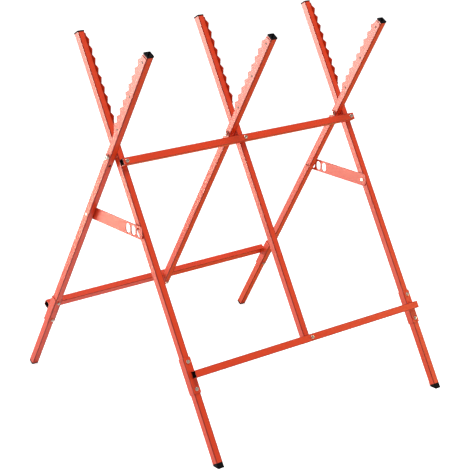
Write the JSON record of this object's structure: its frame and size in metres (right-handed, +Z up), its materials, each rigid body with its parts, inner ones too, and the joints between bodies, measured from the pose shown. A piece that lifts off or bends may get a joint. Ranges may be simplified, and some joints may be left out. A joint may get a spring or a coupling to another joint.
{
  "type": "log saw stand",
  "caption": "Folding steel log saw stand: crossed square-tube legs with toothed upper arms form V cradles, tied by a top rail, low rails and slotted spreader bars.",
  "frame": {"origin": "on the floor, under the middle of the whole stand's box", "axes": "+X along the rails, +Y from the front legs' feet to the rear legs' feet, +Z up"},
  "size_m": [0.8544, 0.8756, 1.034],
  "materials": {
    "red_paint": "glossy powder coat",
    "zinc": "bright zinc plate",
    "dark_steel": "dull dark steel",
    "black_plastic": "moulded, satin"
  },
  "bodies": {
    "front_frame": {"front_leg_left": "red_paint", "front_teeth_left": "red_paint", "front_tip_cap_left": "black_plastic", "front_leg_centre": "red_paint", "front_teeth_centre": "red_paint", "front_tip_cap_centre": "black_plastic", "front_leg_right": "red_paint", "front_teeth_right": "red_paint", "front_tip_cap_right": "black_plastic", "front_sleeve_left": "red_paint", "front_foot_tube_left": "red_paint", "front_foot_left": "black_plastic", "front_sleeve_right": "red_paint", "front_foot_tube_right": "red_paint", "front_foot_right": "black_plastic", "front_low_rail": "red_paint", "front_sleeve_bolts": "zinc", "front_centre_bolt": "zinc", "front_shim": "zinc", "front_washers": "zinc", "front_nuts": "zinc", "front_rivets": "dark_steel", "front_spreader_rivet": "zinc", "front_catch_pin": "red_paint", "top_rail": "red_paint", "pivot_bolts": "zinc", "pivot_washers": "zinc", "pivot_spacers": "zinc", "pivot_nuts": "zinc", "top_rail_bolts": "zinc"},
    "rear_frame": {"rear_leg_left": "red_paint", "rear_teeth_left": "red_paint", "rear_tip_cap_left": "black_plastic", "rear_leg_centre": "red_paint", "rear_teeth_centre": "red_paint", "rear_tip_cap_centre": "black_plastic", "rear_leg_right": "red_paint", "rear_teeth_right": "red_paint", "rear_tip_cap_right": "black_plastic", "rear_sleeve_left": "red_paint", "rear_foot_tube_left": "red_paint", "rear_foot_left": "black_plastic", "rear_sleeve_right": "red_paint", "rear_foot_tube_right": "red_paint", "rear_foot_right": "black_plastic", "rear_low_rail": "red_paint", "rear_sleeve_bolts": "zinc", "rear_centre_bolt": "zinc", "rear_shim": "zinc", "rear_washers": "zinc", "rear_nuts": "zinc", "rear_rivets": "dark_steel", "rear_spreader_rivet": "zinc", "rear_catch_pin": "red_paint"},
    "spreader_left": {"spreader_left": "red_paint"},
    "spreader_right": {"spreader_right": "red_paint"}
  },
  "joints": [
    {"name": "fold", "type": "hinge", "parent": "front_frame", "child": "rear_frame", "pos_m": [0.00365, 0.00268, 0.731], "axis": [-1, 0, 0], "range_deg": [0, 57]},
    {"name": "spreader_left_turn", "type": "hinge", "parent": "rear_frame", "child": "spreader_left", "pos_m": [-0.3955, 0.10995, 0.54815], "axis": [1, 0, 0], "range_deg": [0, 120.4]},
    {"name": "spreader_right_turn", "type": "hinge", "parent": "front_frame", "child": "spreader_right", "pos_m": [0.4028, -0.1046, 0.54815], "axis": [-1, 0, 0], "range_deg": [0, 120.4]}
  ],
  "couplings": [
    {"joint": "spreader_left_turn", "follows": "fold", "ratio": 2.112},
    {"joint": "spreader_right_turn", "follows": "fold", "ratio": 2.112}
  ]
}
